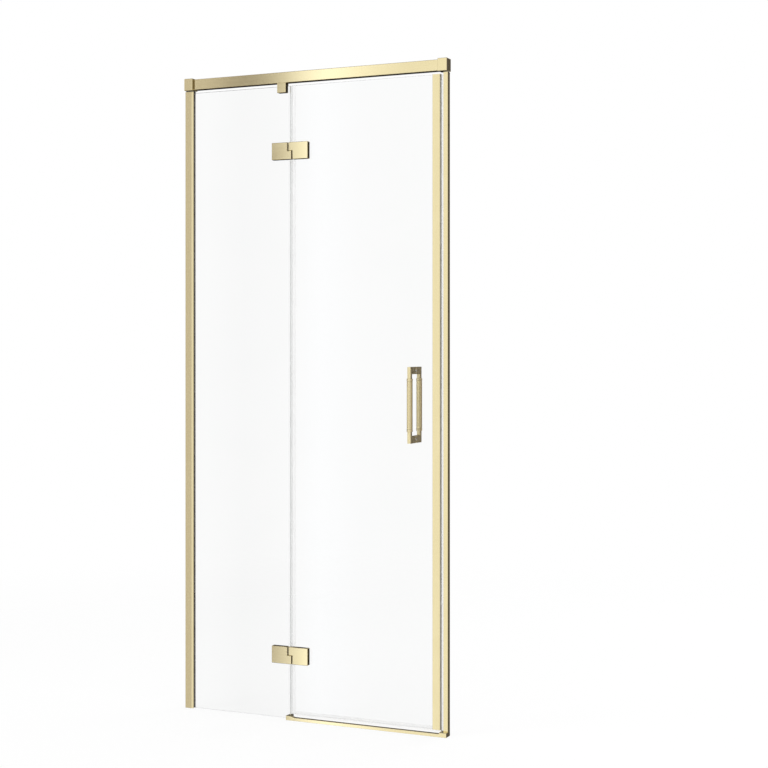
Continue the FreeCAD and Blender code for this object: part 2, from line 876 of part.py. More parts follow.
def drip_seal():
    """Clear seal under the door, with a slanted fin that sheds water inwards."""
    inner = glass_face + seal_gap
    outer = inner + seal_wall
    web_top = drip_web_bottom + seal_wall
    leg_top = door_bottom + drip_leg_height
    channel = [
        (-outer, drip_web_bottom),
        (outer, drip_web_bottom),
        (outer, leg_top),
        (inner, leg_top),
        (inner, web_top),
        (-inner, web_top),
        (-inner, leg_top),
        (-outer, leg_top),
    ]
    fin_start = -drip_fin_throw / 2
    fin_end = drip_fin_throw / 2
    fin = [
        (fin_start, drip_web_bottom),
        (fin_end, fin_bottom),
        (fin_end + drip_fin_thickness, fin_bottom),
        (fin_start + drip_fin_thickness * 2, drip_web_bottom),
        (fin_start + drip_fin_thickness * 2, web_top),
        (fin_start, web_top),
    ]
    left = hinge_seal_right() + seal_gap
    legs_right = edge_profile_left - seal_gap
    strip = block((left, edge_profile_right), (-outer, outer), (drip_web_bottom, web_top))
    solid = level_run(channel, left, legs_right).fuse(strip)
    return solid.fuse(level_run(fin, left + drip_fin_inset, edge_profile_right)).removeSplitter()


def threshold():
    """Low bar on the tray, open below for its bed of sealant."""
    left = threshold_left()
    solid = block((left, wall_seal_face), (threshold_front, threshold_back), (0, threshold_height))
    solid = solid.makeChamfer(threshold_edge, edges_along(solid, 0, z=threshold_height))
    groove = block(
        (left - cut_overrun, wall_seal_face + cut_overrun),
        (threshold_front + threshold_wall, threshold_back - threshold_wall),
        (-cut_overrun, threshold_height - threshold_wall),
    )
    return solid.cut(groove)


def threshold_left():
    """Where the bar meets the tail of its left end piece."""
    return fixed_glass_right - left_end_grip + left_end_block + left_end_tail


def threshold_end_left():
    """End piece that holds the corner of the fixed glass, with a tail sloping to the bar."""
    left = fixed_glass_right - left_end_grip
    middle = left + left_end_block
    right = middle + left_end_tail
    back = glass_face + left_end_back
    body = block((left, middle), (end_piece_front, back), (0, end_piece_height))
    front_corner = edges_along(body, 2, x=left, y=end_piece_front)
    body = body.makeFillet(end_piece_edge, front_corner)
    corners = [
        Vector(middle, end_piece_front, 0),
        Vector(right, end_piece_front, 0),
        Vector(right, end_piece_front, threshold_height),
        Vector(middle, end_piece_front, end_piece_height),
    ]
    tail_face = Part.Face(Part.makePolygon(corners + corners[:1]))
    tail = tail_face.extrude(Vector(0, threshold_back - end_piece_front, 0))
    slot_half = glass_face + left_end_slot_gap
    slot = block(
        (left - cut_overrun, fixed_glass_right + left_end_slot_gap),
        (-slot_half, slot_half),
        (left_end_slot_floor, end_piece_height + cut_overrun),
    )
    return body.fuse(tail).removeSplitter().cut(slot)


def threshold_end_right():
    """End piece under the right wall profile."""
    x = (wall_seal_face, half_width)
    solid = block(x, (end_piece_front, profile_face), (0, end_piece_height))
    return solid.makeChamfer(end_piece_edge, edges_along(solid, 0, y=end_piece_front, z=end_piece_height))


def handle_arm_levels():
    """Heights of the upper and lower arms."""
    offset = (handle_height - handle_arm_height) / 2
    return [handle_level + offset, handle_level - offset]


def handle_arm(side, z):
    """L-shaped arm: out from the glass, then a stub towards the grip."""
    towards_grip = 1 if z < handle_level else -1
    half = handle_arm_width / 2
    x = (handle_x - half, handle_x + half)
    arm_z = (z - handle_arm_height / 2, z + handle_arm_height / 2)
    stub_end = z + towards_grip * (handle_arm_height / 2 + handle_stub_height)
    arm = block(x, (side * handle_foot, side * handle_face), arm_z)
    stub = block(x, (side * handle_bar_inner, side * handle_face), (z, stub_end))
    solid = arm.fuse(stub).removeSplitter()
    solid = solid.makeFillet(handle_edge_radius, edges_along(solid, 2, y=side * handle_foot))
    solid = solid.makeFillet(handle_edge_radius, edges_along(solid, 2, y=side * handle_bar_inner))
    solid = solid.makeFillet(handle_edge_radius, edges_along(solid, 2, y=side * handle_face))
    rod_start = Vector(handle_x, side * handle_axis_y, stub_end - towards_grip * handle_rod_bite)
    rod_end = Vector(handle_x, side * handle_axis_y, stub_end + towards_grip * cut_overrun)
    solid = solid.cut(rod(grip_bore_radius, rod_start, rod_end))
    stud_start = Vector(handle_x, side * (handle_foot - cut_overrun), z)
    stud_end = Vector(handle_x, side * (glass_face + stud_bite + stud_gap), z)
    solid = solid.cut(rod(stud_radius + stud_gap, stud_start, stud_end))
    if side > 0:
        solid = solid.cut(handle_grub(z, handle_grub_radius + screw_gap, cut_overrun))
    return solid


def handle_grub(z, radius, overrun):
    """Set screw in the underside of a rear arm, up to its stud."""
    y = glass_face + stud_bite / 2
    low = z - handle_arm_height / 2
    return rod(radius, Vector(handle_x, y, low - overrun), Vector(handle_x, y, z - stud_radius))


def handle_arms(side):
    """Both arms on one side of the glass."""
    return Part.makeCompound([handle_arm(side, z) for z in handle_arm_levels()])


def handle_grubs():
    """Set screws of the rear arms."""
    return Part.makeCompound([handle_grub(z, handle_grub_radius, 0) for z in handle_arm_levels()])


def grip_half_span():
    """Half of the length between the stubs, which the grip and its collars fill."""
    return handle_height / 2 - handle_arm_height - handle_stub_height


def upright_tube(radius, bore, y, low, high):
    """Tube on the handle's line, from one height to another."""
    tube = rod(radius, Vector(handle_x, y, low), Vector(handle_x, y, high))
    return tube.cut(rod(bore, Vector(handle_x, y, low - cut_overrun), Vector(handle_x, y, high + cut_overrun)))


def handle_grip(side):
    """Round grip between two collars."""
    half = grip_half_span() - collar_height - collar_seam
    y = side * handle_axis_y
    return upright_tube(grip_radius, grip_bore_radius, y, handle_level - half, handle_level + half)


def handle_collars():
    """Rings at both ends of both grips."""
    rings = []
    outer = grip_half_span()
    for side in (-1, 1):
        y = side * handle_axis_y
        top = handle_level + outer
        low = handle_level - outer
        rings.append(upright_tube(collar_radius, grip_bore_radius, y, top - collar_height, top))
        rings.append(upright_tube(collar_radius, grip_bore_radius, y, low, low + collar_height))
    return Part.makeCompound(rings)


def handle_rods():
    """Steel rods inside the grips, held in the stubs."""
    half = grip_half_span() + handle_rod_bite
    rods = []
    for side in (-1, 1):
        y = side * handle_axis_y
        low = Vector(handle_x, y, handle_level - half)
        rods.append(rod(handle_rod_radius, low, Vector(handle_x, y, handle_level + half)))
    return Part.makeCompound(rods)


def handle_studs():
    """Studs that join the front and rear arms through the glass."""
    reach = glass_face + stud_bite
    studs = []
    for z in handle_arm_levels():
        studs.append(rod(stud_radius, Vector(handle_x, -reach, z), Vector(handle_x, reach, z)))
    return Part.makeCompound(studs)


def handle_bushes():
    """Flanged plastic sleeves that keep the studs and arms off the glass."""
    bushes = []
    for z in handle_arm_levels():
        for side in (-1, 1):
            inner = Vector(handle_x, side * seal_gap, z)
            seat = Vector(handle_x, side * glass_face, z)
            foot = Vector(handle_x, side * handle_foot, z)
            sleeve = rod(handle_bush_radius, inner, seat).fuse(rod(handle_flange_radius, seat, foot))
            far = Vector(handle_x, side * (handle_foot + cut_overrun), z)
            bushes.append(sleeve.cut(rod(stud_radius + stud_gap, Vector(handle_x, 0, z), far)))
    return Part.makeCompound(bushes)


def hinge_nodes(name, level):
    """All pieces of one hinge apart from its screws."""
    left = hinge_axis_x - fixed_leaf_reach + leaf_corner_radius
    right = hinge_axis_x + door_leaf_reach - leaf_corner_radius
    prefix = "hinge_" + name + "_"
    return {
        prefix + "fixed_leaf": fixed_leaf(level),
        prefix + "fixed_pad": leaf_pad(left, fixed_leaf_edge, level, fixed_disc_x()),
        prefix + "fixed_discs": leaf_discs(level, fixed_disc_x()),
        prefix + "pin": hinge_pin(level),
        prefix + "washer": hinge_washer(level),
        prefix + "door_leaf": door_leaf(level),
        prefix + "door_pad": leaf_pad(door_leaf_edge, right, level, door_disc_x()),
        prefix + "door_discs": leaf_discs(level, door_disc_x()),
        prefix + "bush": hinge_bush(level),
    }


def frame_nodes():
    """Pieces that stay with the walls and the tray."""
    return {
        "wall_channel_left": wall_channel(-1, left_web_offset, 0),
        "wall_channel_right": wall_channel(1, right_web_offset, end_piece_height),
        "wall_profile_left": wall_profile(-1, left_profile_width, left_web_offset, 0),
        "wall_profile_right": wall_profile(1, right_profile_width, right_web_offset, end_piece_height),
        "profile_screws": profile_screws(),
        "glass_gasket_front": glass_gasket(True),
        "glass_gasket_back": glass_gasket(False),
        "fixed_glass": fixed_glass(),
        "top_rail": top_rail(),
        "end_cap_left": end_cap(-1),
        "end_cap_right": end_cap(1),
        "cap_plate_left": cap_plate(-1),
        "cap_plate_right": cap_plate(1),
        "cap_spacers": cap_spacers(),
        "cap_screws": cap_screws(),
        "rail_screws": rail_screws(),
        "glass_clamp": glass_clamp(),
        "clamp_pads": clamp_pads(),
        "clamp_grub": clamp_grub(clamp_grub_radius, 0),
        "clamp_bolt": clamp_bolt(),
        "fixed_leaf_screws": leaf_screws(fixed_disc_x()),
        "threshold": threshold(),
        "threshold_end_left": threshold_end_left(),
        "threshold_end_right": threshold_end_right(),
        "wall_seal": wall_seal(),
        "wall_magnet": magnet(wall_magnet_face, wall_seal_face, end_piece_height),
    }


def door_nodes():
    """Pieces that swing with the door."""
    return {
        "door_glass": door_glass(),
        "door_edge_profile": door_edge_profile(),
        "edge_gaskets": edge_gaskets(),
        "door_magnet": magnet(edge_profile_right, door_magnet_face, door_bottom),
        "hinge_seal": hinge_seal(),
        "drip_seal": drip_seal(),
        "door_leaf_screws": leaf_screws(door_disc_x()),
        "handle_arms_front": handle_arms(-1),
        "handle_arms_rear": handle_arms(1),
        "handle_grip_front": handle_grip(-1),
        "handle_grip_rear": handle_grip(1),
        "handle_collars": handle_collars(),
        "handle_rods": handle_rods(),
        "handle_studs": handle_studs(),
        "handle_bushes": handle_bushes(),
        "handle_grubs": handle_grubs(),
    }


nodes = frame_nodes()
nodes.update(door_nodes())
for hinge_name, hinge_level in hinge_levels.items():
    nodes.update(hinge_nodes(hinge_name, hinge_level))

os.makedirs("parts", exist_ok=True)
for node_name, shape in nodes.items():
    shape.exportStep("parts/" + node_name + ".step")
    print(node_name, len(shape.Solids), "solids", round(shape.Volume), "mm3, valid:", shape.isValid())
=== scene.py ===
import json
import math

import bmesh
import bpy
from mathutils import Matrix, Vector

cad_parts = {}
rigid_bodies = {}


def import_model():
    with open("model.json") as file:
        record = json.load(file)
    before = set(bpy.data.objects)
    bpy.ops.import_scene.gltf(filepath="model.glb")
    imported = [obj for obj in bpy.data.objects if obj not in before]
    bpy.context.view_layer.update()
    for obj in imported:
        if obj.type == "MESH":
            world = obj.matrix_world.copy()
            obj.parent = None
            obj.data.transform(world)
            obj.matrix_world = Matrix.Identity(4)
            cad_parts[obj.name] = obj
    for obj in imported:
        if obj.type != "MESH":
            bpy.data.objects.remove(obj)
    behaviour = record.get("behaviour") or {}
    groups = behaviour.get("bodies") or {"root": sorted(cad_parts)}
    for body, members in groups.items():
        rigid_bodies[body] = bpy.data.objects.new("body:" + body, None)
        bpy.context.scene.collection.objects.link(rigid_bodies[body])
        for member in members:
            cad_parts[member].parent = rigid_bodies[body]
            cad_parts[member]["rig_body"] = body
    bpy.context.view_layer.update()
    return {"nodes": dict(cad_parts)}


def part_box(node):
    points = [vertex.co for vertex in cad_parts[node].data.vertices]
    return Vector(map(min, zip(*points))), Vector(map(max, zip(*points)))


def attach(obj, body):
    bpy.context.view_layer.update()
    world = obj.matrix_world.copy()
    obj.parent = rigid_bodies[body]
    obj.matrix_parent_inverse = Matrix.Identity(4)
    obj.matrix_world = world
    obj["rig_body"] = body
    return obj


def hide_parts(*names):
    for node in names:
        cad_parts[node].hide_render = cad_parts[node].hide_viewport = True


# Hinged shower door for a niche: brushed pale gold profiles and fittings, clear glass.
# Everything is in metres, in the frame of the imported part.

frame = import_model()
nodes = frame["nodes"]

SMOOTH_ANGLE = math.radians(24)
FLAT_ANGLE = math.radians(0.5)
MERGE = 0.000002


# Shader building blocks


def feed(tree, socket, value):
    """Links a socket to another one, or sets its own value."""
    if isinstance(value, bpy.types.NodeSocket):
        tree.links.new(value, socket)
    else:
        socket.default_value = value


def add_node(tree, kind, **settings):
    """New shader node with its own properties and its input values set."""
    node = tree.nodes.new(kind)
    inputs = settings.pop("inputs", {})
    for name, value in settings.items():
        setattr(node, name, value)
    for name, value in inputs.items():
        feed(tree, node.inputs[name], value)
    return node


def maths(tree, operation, first, second=0.0, clamp=False):
    """Result of one maths node."""
    node = add_node(tree, "ShaderNodeMath", operation=operation, use_clamp=clamp)
    for socket, value in zip(node.inputs, (first, second)):
        feed(tree, socket, value)
    return node.outputs[0]


def ranged(tree, value, low, high, to_low=0.0, to_high=1.0, smooth=False):
    """Value moved from one range to another."""
    node = add_node(tree, "ShaderNodeMapRange", inputs={
        "Value": value, "From Min": low, "From Max": high, "To Min": to_low, "To Max": to_high,
    })
    if smooth:
        node.interpolation_type = "SMOOTHSTEP"
    return node.outputs["Result"]


def near(tree, value, middle, inner, outer):
    """1 within an inner distance of a middle value, falling to 0 at an outer one."""
    away = maths(tree, "ABSOLUTE", maths(tree, "SUBTRACT", value, middle))
    return ranged(tree, away, inner, outer, 1.0, 0.0)


def mixed_colour(tree, mask, first, second):
    """Colour between two others."""
    node = add_node(tree, "ShaderNodeMix", data_type="RGBA")
    for socket, value in ((node.inputs["Factor"], mask), (node.inputs[6], first), (node.inputs[7], second)):
        feed(tree, socket, value)
    return node.outputs[2]


def mixed_value(tree, mask, first, second):
    """Value between two others."""
    node = add_node(tree, "ShaderNodeMix", data_type="FLOAT")
    for socket, value in ((node.inputs["Factor"], mask), (node.inputs[2], first), (node.inputs[3], second)):
        feed(tree, socket, value)
    return node.outputs[0]


def new_group(name, inputs, outputs):
    """Empty node group with named sockets, and its input and output nodes."""
    group = bpy.data.node_groups.new(name, "ShaderNodeTree")
    for label, kind, value in inputs:
        socket = group.interface.new_socket(label, in_out="INPUT", socket_type=kind)
        if value is not None:
            socket.default_value = value
    for label, kind in outputs:
        group.interface.new_socket(label, in_out="OUTPUT", socket_type=kind)
    return group, group.nodes.new("NodeGroupInput"), group.nodes.new("NodeGroupOutput")


def brushed_grain_group():
    """Fine streaks of a brushed finish, long in the direction where the scale is small."""
    group, given, result = new_group(
        "brushed_grain",
        [("Vector", "NodeSocketVector", None), ("Scale", "NodeSocketVector", (1, 1, 1)),
         ("Contrast", "NodeSocketFloat", 1.0)],
        [("Streak", "NodeSocketFloat"), ("Height", "NodeSocketFloat")],
    )
    stretched = add_node(group, "ShaderNodeVectorMath", operation="MULTIPLY")
    group.links.new(given.outputs["Vector"], stretched.inputs[0])
    group.links.new(given.outputs["Scale"], stretched.inputs[1])
    fine = add_node(group, "ShaderNodeTexNoise", inputs={
        "Vector": stretched.outputs[0], "Scale": 1.0, "Detail": 3.0, "Roughness": 0.62,
    })
    broad = add_node(group, "ShaderNodeTexNoise", inputs={
        "Vector": stretched.outputs[0], "Scale": 0.22, "Detail": 2.0, "Roughness": 0.5,
    })
    both = maths(group, "ADD", maths(group, "MULTIPLY", fine.outputs["Fac"], 0.6),
                 maths(group, "MULTIPLY", broad.outputs["Fac"], 0.4))
    centred = maths(group, "MULTIPLY", maths(group, "SUBTRACT", both, 0.5), given.outputs["Contrast"])
    group.links.new(maths(group, "ADD", centred, 0.5, clamp=True), result.inputs["Streak"])
    group.links.new(fine.outputs["Fac"], result.inputs["Height"])
    return group


def handling_group():
    """Faint cloudy differences in gloss, as water marks and wiping leave them."""
    group, given, result = new_group(
        "wiped_marks",
        [("Vector", "NodeSocketVector", None), ("Size", "NodeSocketFloat", 0.1)],
        [("Mask", "NodeSocketFloat")],
    )
    scale = maths(group, "DIVIDE", 1.0, given.outputs["Size"])
    cloud = add_node(group, "ShaderNodeTexNoise", inputs={
        "Vector": given.outputs["Vector"], "Scale": scale, "Detail": 4.0, "Roughness": 0.55,
        "Distortion": 0.4,
    })
    group.links.new(ranged(group, cloud.outputs["Fac"], 0.42, 0.68, smooth=True), result.inputs["Mask"])
    return group


def eased_edge_group():
    """Mask of the narrow eased edges, which the mesh carries as an attribute."""
    group, given, result = new_group("eased_edge", [], [("Mask", "NodeSocketFloat")])
    edge = add_node(group, "ShaderNodeAttribute", attribute_name="edge")
    group.links.new(edge.outputs["Fac"], result.inputs["Mask"])
    return group


BRUSHED = brushed_grain_group()
WIPED = handling_group()
EASED = eased_edge_group()


def new_material(name):
    """Material with an empty tree, its output and its object coordinates."""
    material = bpy.data.materials.new(name)
    material.use_nodes = True
    tree = material.node_tree
    tree.nodes.clear()
    output = tree.nodes.new("ShaderNodeOutputMaterial")
    place = tree.nodes.new("ShaderNodeTexCoord").outputs["Object"]
    return material, tree, output, place


def placed_group(tree, group, **inputs):
    """Group node in a material, with its own values."""
    node = add_node(tree, "ShaderNodeGroup", node_tree=group)
    for name, value in inputs.items():
        feed(tree, node.inputs[name], value)
    return node


# Materials

GOLD_DEEP = (0.805, 0.695, 0.400, 1)
GOLD_PALE = (0.865, 0.760, 0.460, 1)
# Pale gold of the painted highlights on the eased edges and on the crests of the knurl
GOLD_PAINTED_HIGHLIGHT = (0.950, 0.870, 0.600, 1)
GROUND_EDGE = 0.00015


def brushed_gold(name, grain, roughness, relief):
    """Pale gold with a brushed grain, and a painted highlight a little brighter along its edges."""
    material, tree, output, place = new_material(name)
    brushed = placed_group(tree, BRUSHED, Vector=place, Scale=grain, Contrast=1.6)
    wiped = placed_group(tree, WIPED, Vector=place, Size=0.12)
    edge = placed_group(tree, EASED)
    tone = maths(tree, "ADD", maths(tree, "MULTIPLY", brushed.outputs["Streak"], 0.7),
                 maths(tree, "MULTIPLY", wiped.outputs["Mask"], 0.3))
    gold = mixed_colour(tree, tone, GOLD_DEEP, GOLD_PALE)
    # Painted highlight: the eased edges are lightened towards a pale gold and made a little less rough.
    edge_highlight = maths(tree, "MULTIPLY", edge.outputs["Mask"], ranged(tree, tone, 0.2, 0.8, 0.45, 0.95))
    colour = mixed_colour(tree, edge_highlight, gold, GOLD_PAINTED_HIGHLIGHT)
    rough = ranged(tree, brushed.outputs["Streak"], 0.0, 1.0, roughness - 0.02, roughness + 0.02)
    rough = maths(tree, "ADD", rough, maths(tree, "MULTIPLY", wiped.outputs["Mask"], 0.01))
    rough = maths(tree, "SUBTRACT", rough, maths(tree, "MULTIPLY", edge_highlight, 0.03))
    bump = add_node(tree, "ShaderNodeBump", inputs={
        "Height": brushed.outputs["Height"], "Strength": relief, "Distance": 0.00005,
    })
    metal = add_node(tree, "ShaderNodeBsdfPrincipled", inputs={
        "Base Color": colour, "Metallic": 1.0, "Roughness": rough, "Normal": bump.outputs["Normal"],
    })
    tree.links.new(metal.outputs["BSDF"], output.inputs["Surface"])
    return material


def knurled_gold():
    """Gold of the grips, with painted shade darker in the cuts of the knurl and a painted highlight brighter on
    its crests.
    """
    material, tree, output, place = new_material("gold_knurled")
    crest = add_node(tree, "ShaderNodeAttribute", attribute_name="crest")
    wiped = placed_group(tree, WIPED, Vector=place, Size=0.03)
    height = ranged(tree, crest.outputs["Fac"], 0.0, 0.75, smooth=True)
    # Painted shade: the cuts of the knurl are coloured a deeper gold.
    cut_shade = mixed_colour(tree, height, (0.740, 0.630, 0.350, 1), GOLD_PALE)
    # Painted highlight: the crests are lightened towards a pale gold, patchily with the wiped marks.
    crest_highlight = maths(tree, "MULTIPLY", ranged(tree, crest.outputs["Fac"], 0.7, 1.0),
                   ranged(tree, wiped.outputs["Mask"], 0.0, 1.0, 0.5, 1.0))
    colour = mixed_colour(tree, crest_highlight, cut_shade, GOLD_PAINTED_HIGHLIGHT)
    rough = ranged(tree, height, 0.0, 1.0, 0.24, 0.16)
    grit = add_node(tree, "ShaderNodeTexNoise", inputs={"Vector": place, "Scale": 4000.0, "Detail": 2.0})
    bump = add_node(tree, "ShaderNodeBump", inputs={
        "Height": grit.outputs["Fac"], "Strength": 0.15, "Distance": 0.00003,
    })
    metal = add_node(tree, "ShaderNodeBsdfPrincipled", inputs={
        "Base Color": colour, "Metallic": 1.0, "Roughness": rough, "Normal": bump.outputs["Normal"],
    })
    tree.links.new(metal.outputs["BSDF"], output.inputs["Surface"])
    return material


def plain_metal(name, dark, pale, roughness, grain):
    """Steel or mill aluminium with a drawn grain."""
    material, tree, output, place = new_material(name)
    brushed = placed_group(tree, BRUSHED, Vector=place, Scale=grain, Contrast=1.8)
    wiped = placed_group(tree, WIPED, Vector=place, Size=0.02)
    tone = maths(tree, "ADD", maths(tree, "MULTIPLY", brushed.outputs["Streak"], 0.6),
                 maths(tree, "MULTIPLY", wiped.outputs["Mask"], 0.4))
    bump = add_node(tree, "ShaderNodeBump", inputs={
        "Height": brushed.outputs["Height"], "Strength": 0.2, "Distance": 0.00004,
    })
    metal = add_node(tree, "ShaderNodeBsdfPrincipled", inputs={
        "Base Color": mixed_colour(tree, tone, dark, pale), "Metallic": 1.0,
        "Roughness": ranged(tree, tone, 0.0, 1.0, roughness - 0.07, roughness + 0.07),
        "Normal": bump.outputs["Normal"],
    })
    tree.links.new(metal.outputs["BSDF"], output.inputs["Surface"])
    return material


def moulded(name, dark, pale, roughness, speck, relief):
    """Rubber or plastic with the fine grain of its mould."""
    material, tree, output, place = new_material(name)
    grain = add_node(tree, "ShaderNodeTexNoise", inputs={
        "Vector": place, "Scale": speck, "Detail": 4.0, "Roughness": 0.6,
    })
    wiped = placed_group(tree, WIPED, Vector=place, Size=0.04)
    tone = maths(tree, "ADD", maths(tree, "MULTIPLY", grain.outputs["Fac"], 0.6),
                 maths(tree, "MULTIPLY", wiped.outputs["Mask"], 0.4))
    bump = add_node(tree, "ShaderNodeBump", inputs={
        "Height": grain.outputs["Fac"], "Strength": relief, "Distance": 0.00005,
    })
    body = add_node(tree, "ShaderNodeBsdfPrincipled", inputs={
        "Base Color": mixed_colour(tree, tone, dark, pale),
        "Roughness": ranged(tree, tone, 0.0, 1.0, roughness + 0.08, roughness - 0.08),
        "Normal": bump.outputs["Normal"],
    })
    tree.links.new(body.outputs["BSDF"], output.inputs["Surface"])
    return material


def outside(tree, value, low, high):
    """1 where a value is past two limits and 0 between them."""
    return maths(tree, "MAXIMUM", maths(tree, "LESS_THAN", value, low), maths(tree, "GREATER_THAN", value, high))


def ground_glass(name, node_name):
    """Clear glass of one pane, with matt ground edges all round."""
    material, tree, output, place = new_material(name)
    low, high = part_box(node_name)
    along = add_node(tree, "ShaderNodeSeparateXYZ", inputs={"Vector": place})
    edge = maths(
        tree, "MAXIMUM", outside(tree, along.outputs["X"], low.x + GROUND_EDGE, high.x - GROUND_EDGE),
        outside(tree, along.outputs["Z"], low.z + GROUND_EDGE, high.z - GROUND_EDGE),
    )
    wiped = placed_group(tree, WIPED, Vector=place, Size=0.25)
    clear = mixed_colour(tree, wiped.outputs["Mask"], (0.962, 0.965, 0.963, 1), (0.956, 0.960, 0.958, 1))
    body = add_node(tree, "ShaderNodeBsdfPrincipled", inputs={
        "Base Color": mixed_colour(tree, edge, clear, (0.80, 0.83, 0.81, 1)),
        "Roughness": maths(tree, "MULTIPLY", edge, 0.45), "IOR": 1.5, "Specular Tint": (0.3, 0.3, 0.3, 1),
        "Transmission Weight": ranged(tree, edge, 0.0, 1.0, 1.0, 0.25),
    })
    passing = add_node(tree, "ShaderNodeBsdfTransparent", inputs={"Color": (0.95, 0.96, 0.955, 1)})
    path = add_node(tree, "ShaderNodeLightPath")
    both = add_node(tree, "ShaderNodeMixShader", inputs={"Fac": path.outputs["Is Shadow Ray"]})
    tree.links.new(body.outputs["BSDF"], both.inputs[1])
    tree.links.new(passing.outputs["BSDF"], both.inputs[2])
    tree.links.new(both.outputs["Shader"], output.inputs["Surface"])
    return material


def clear_plastic(name, clear, cloudy, roughness, filling):
    """Soft clear plastic, a little cloudy, which lets most of the light through."""
    material, tree, output, place = new_material(name)
    wiped = placed_group(tree, WIPED, Vector=place, Size=0.05)
    ripple = add_node(tree, "ShaderNodeTexNoise", inputs={"Vector": place, "Scale": 700.0, "Detail": 2.0})
    bump = add_node(tree, "ShaderNodeBump", inputs={
        "Height": ripple.outputs["Fac"], "Strength": 0.03, "Distance": 0.00003,
    })
    body = add_node(tree, "ShaderNodeBsdfPrincipled", inputs={
        "Base Color": mixed_colour(tree, wiped.outputs["Mask"], clear, cloudy), "Roughness": roughness,
        "Alpha": ranged(tree, wiped.outputs["Mask"], 0.0, 1.0, filling, filling + 0.02),
        "Specular IOR Level": 0.3, "Normal": bump.outputs["Normal"],
    })
    tree.links.new(body.outputs["BSDF"], output.inputs["Surface"])
    return material


UPRIGHT_GRAIN = (2600, 2600, 9)
LEVEL_GRAIN = (9, 2600, 2600)
gold_upright = brushed_gold("gold_brushed_upright", UPRIGHT_GRAIN, 0.10, 0.04)
gold_level = brushed_gold("gold_brushed_level", LEVEL_GRAIN, 0.10, 0.04)
gold_fitting = brushed_gold("gold_satin_fitting", (26, 2200, 2200), 0.09, 0.03)
gold_handle = brushed_gold("gold_satin_handle", (2200, 2200, 26), 0.40, 0.05)
gold_grip = knurled_gold()
steel = plain_metal("stainless_steel", (0.42, 0.41, 0.39, 1), (0.66, 0.65, 0.63, 1), 0.28, (900, 900, 60))
# On the spacers under the corner caps this dark rubber is painted shade: a dark piece where the shadow line
# under each cap falls. On the gaskets it is their own colour.
rubber_and_painted_shade = moulded("gasket_rubber", (0.10, 0.10, 0.10, 1), (0.17, 0.17, 0.165, 1), 0.62, 1800, 0.35)
glazing_rubber = moulded("glazing_rubber", (0.30, 0.28, 0.25, 1), (0.40, 0.38, 0.34, 1), 0.60, 1800, 0.35)
magnet = moulded("magnet_strip", (0.31, 0.30, 0.26, 1), (0.39, 0.38, 0.33, 1), 0.48, 1500, 0.3)
cased_magnet = moulded("magnet_in_its_casing", (0.82, 0.82, 0.79, 1), (0.88, 0.88, 0.85, 1), 0.35, 1500, 0.2)
nylon = moulded("bearing_nylon", (0.76, 0.75, 0.71, 1), (0.86, 0.85, 0.81, 1), 0.40, 1200, 0.2)
fixed_pane = ground_glass("clear_glass_fixed_pane", "fixed_glass")
door_pane = ground_glass("clear_glass_door_pane", "door_glass")
seal = clear_plastic("clear_seal", (0.97, 0.97, 0.965, 1), (0.95, 0.95, 0.94, 1), 0.25, 0.065)

NODE_FINISH = {
    "gold_profile": gold_upright, "gold_fitting": gold_fitting, "clear_glass": fixed_pane,
    "clear_seal": seal, "magnet_strip": magnet, "gasket_rubber": rubber_and_painted_shade,
    "bearing_plastic": nylon, "screw_steel": steel,
}
slot_of = {}
for name, node in nodes.items():
    slot_of[name] = node.data.materials[0].name
    finish = NODE_FINISH[slot_of[name]]
    if name in ("top_rail", "threshold"):
        finish = gold_level
    elif name.startswith("handle_") and finish is gold_fitting:
        finish = gold_handle
    elif name.startswith("glass_gasket"):
        finish = glazing_rubber
    elif name == "wall_magnet":
        finish = cased_magnet
    elif name == "door_glass":
        finish = door_pane
    for place_in_list in range(len(node.material_slots)):
        node.material_slots[place_in_list].material = finish


# Pieces made from the solids, with their edges eased


def stand_in(piece_name, mesh_in_work, node_names, finish):
    """Finished piece that stands for CAD nodes and rides where they do."""
    mesh = bpy.data.meshes.new(piece_name)
    mesh_in_work.to_mesh(mesh)
    mesh_in_work.free()
    mesh.materials.append(finish)
    mesh.shade_smooth()
    mesh.set_sharp_from_angle(angle=SMOOTH_ANGLE)
    piece = bpy.data.objects.new(piece_name, mesh)
    bpy.context.scene.collection.objects.link(piece)
    weighted = piece.modifiers.new("even_faces", "WEIGHTED_NORMAL")
    weighted.keep_sharp = True
    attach(piece, nodes[node_names[0]]["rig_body"])
    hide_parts(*node_names)
    return piece


def merged_copy(node_name):
    """Copy of a node's mesh with its corners joined and its flat faces whole."""
    work = bmesh.new()
    work.from_mesh(nodes[node_name].data)
    bmesh.ops.remove_doubles(work, verts=work.verts, dist=MERGE)
    bmesh.ops.dissolve_limit(work, angle_limit=FLAT_ANGLE, verts=work.verts, edges=work.edges)
    return work


def eased_copy(piece_name, node_name, width, shortest=0.002, segments=4):
    """Node with its sharp edges eased by a small width, and those edges marked for a painted highlight."""
    work = merged_copy(node_name)
    edge_mark = work.loops.layers.float.new("edge")
    sharp = []
    for edge in work.edges:
        if edge.is_manifold and edge.calc_length() > shortest and edge.calc_face_angle() > SMOOTH_ANGLE:
            sharp.append(edge)
    made = bmesh.ops.bevel(
        work, geom=sharp, offset=width, offset_type="OFFSET", affect="EDGES", segments=segments,
        profile=0.5, material=-1, clamp_overlap=False, loop_slide=True,
    )
    # The bevel faces are marked, so that the gold paints a highlight on them.
    for face in made["faces"]:
        for loop in face.loops:
            loop[edge_mark] = 1.0
    return stand_in(piece_name, work, [node_name], nodes[node_name].material_slots[0].material)


